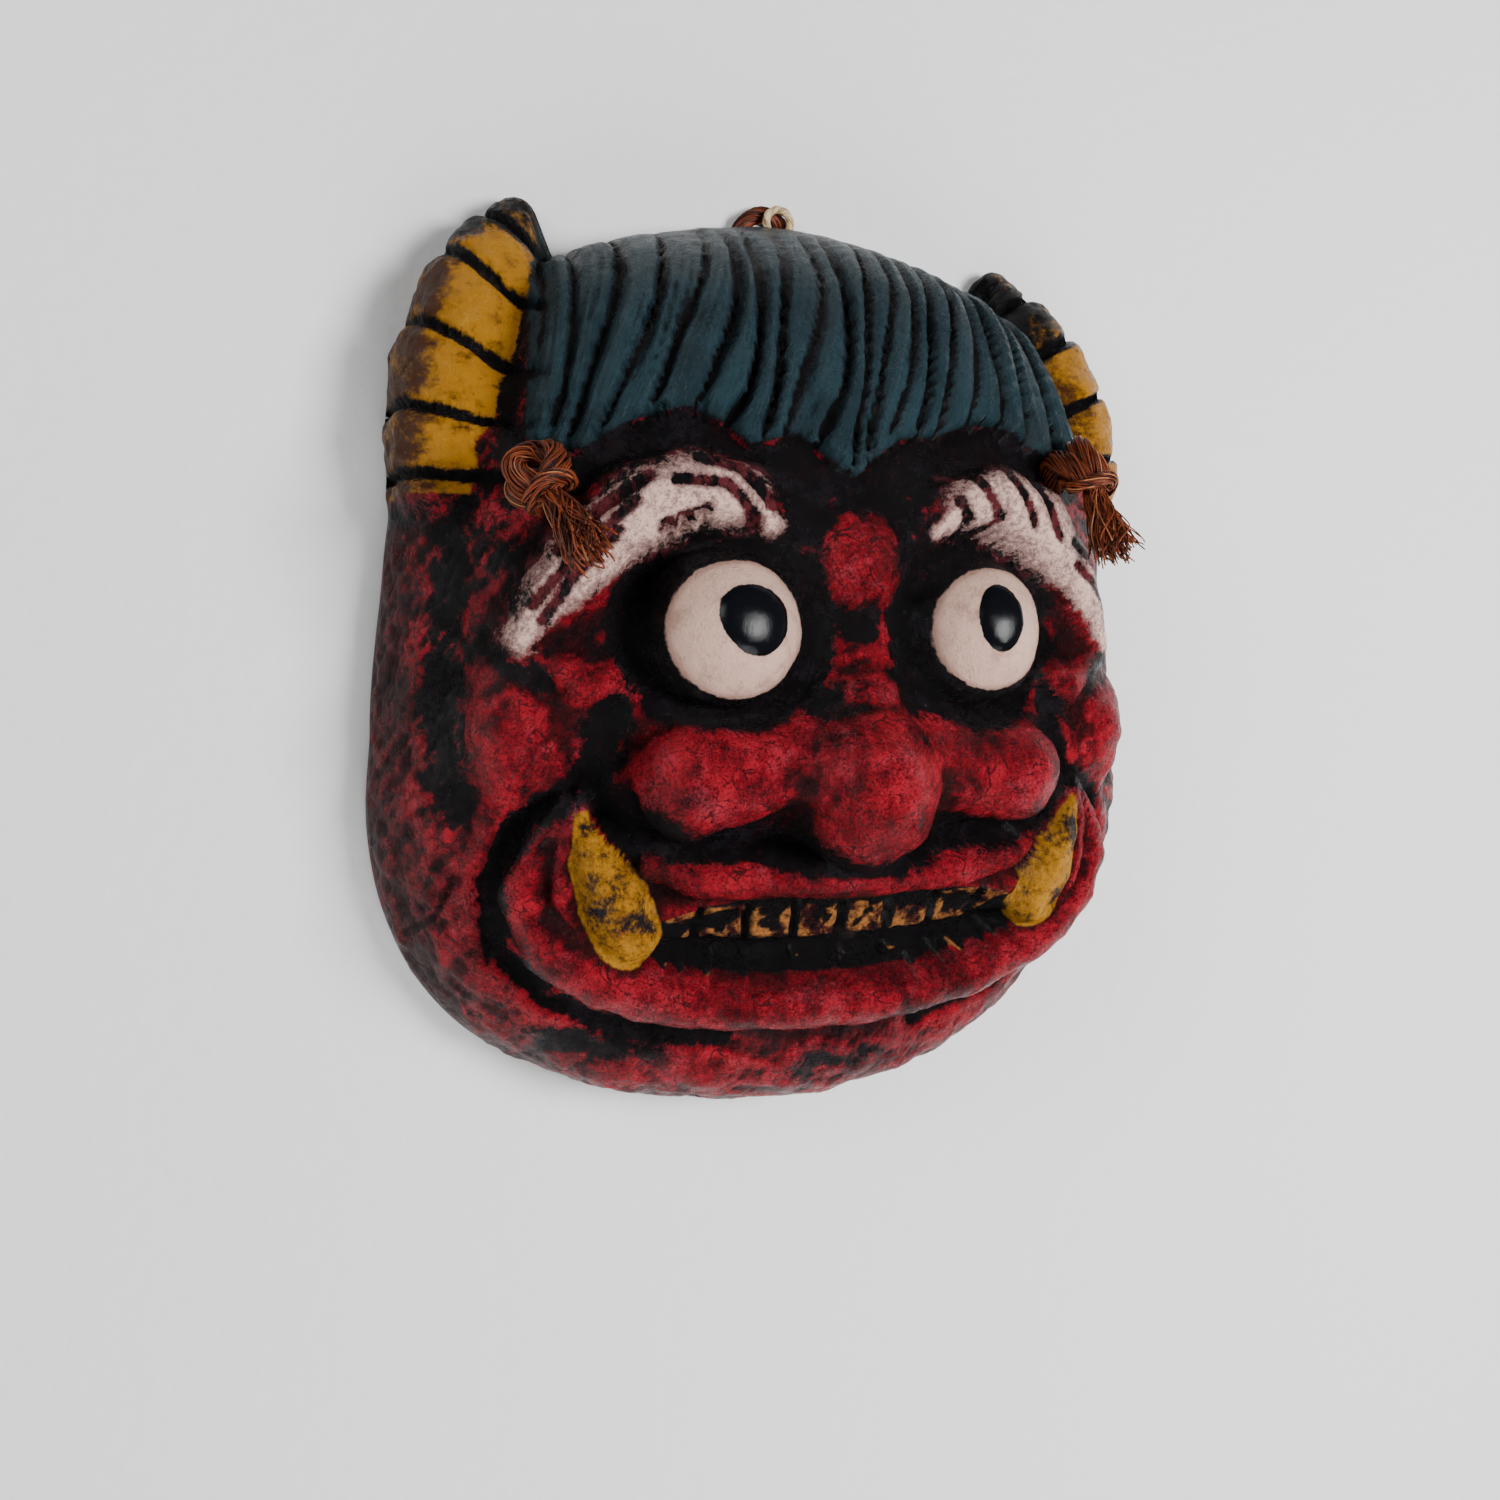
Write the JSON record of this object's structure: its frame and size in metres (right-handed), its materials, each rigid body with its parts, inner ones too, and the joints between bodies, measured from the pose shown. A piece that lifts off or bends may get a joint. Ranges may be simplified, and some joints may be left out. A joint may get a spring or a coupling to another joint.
{
  "type": "oni mask",
  "caption": "Painted papier-mache demon mask with curved horns, bulging eyes, combed fringe, tusks and grinning mouth, hollow behind, with a knotted fibre hanging cord.",
  "frame": {"origin": "middle of the back rim's bounding box, on the floor that the back rim rests on", "axes": "+Z out of the face, +Y towards the hair, +X towards the viewer's right"},
  "size_m": [0.2286, 0.259, 0.0886],
  "materials": {
    "painted_papier_mache": "hand-painted: red, teal, ochre and cream dry-brushed over a black undercoat, with a low sheen and glossy black pupils",
    "brown_fibre": "twisted reddish-brown plant fibre, frayed at the knots",
    "pale_thread": "pale undyed fibre, wound into a small ring"
  },
  "bodies": {
    "root": {"mask_shell": "painted_papier_mache", "hanging_cord": "brown_fibre", "hanging_ring": "pale_thread"}
  },
  "joints": []
}
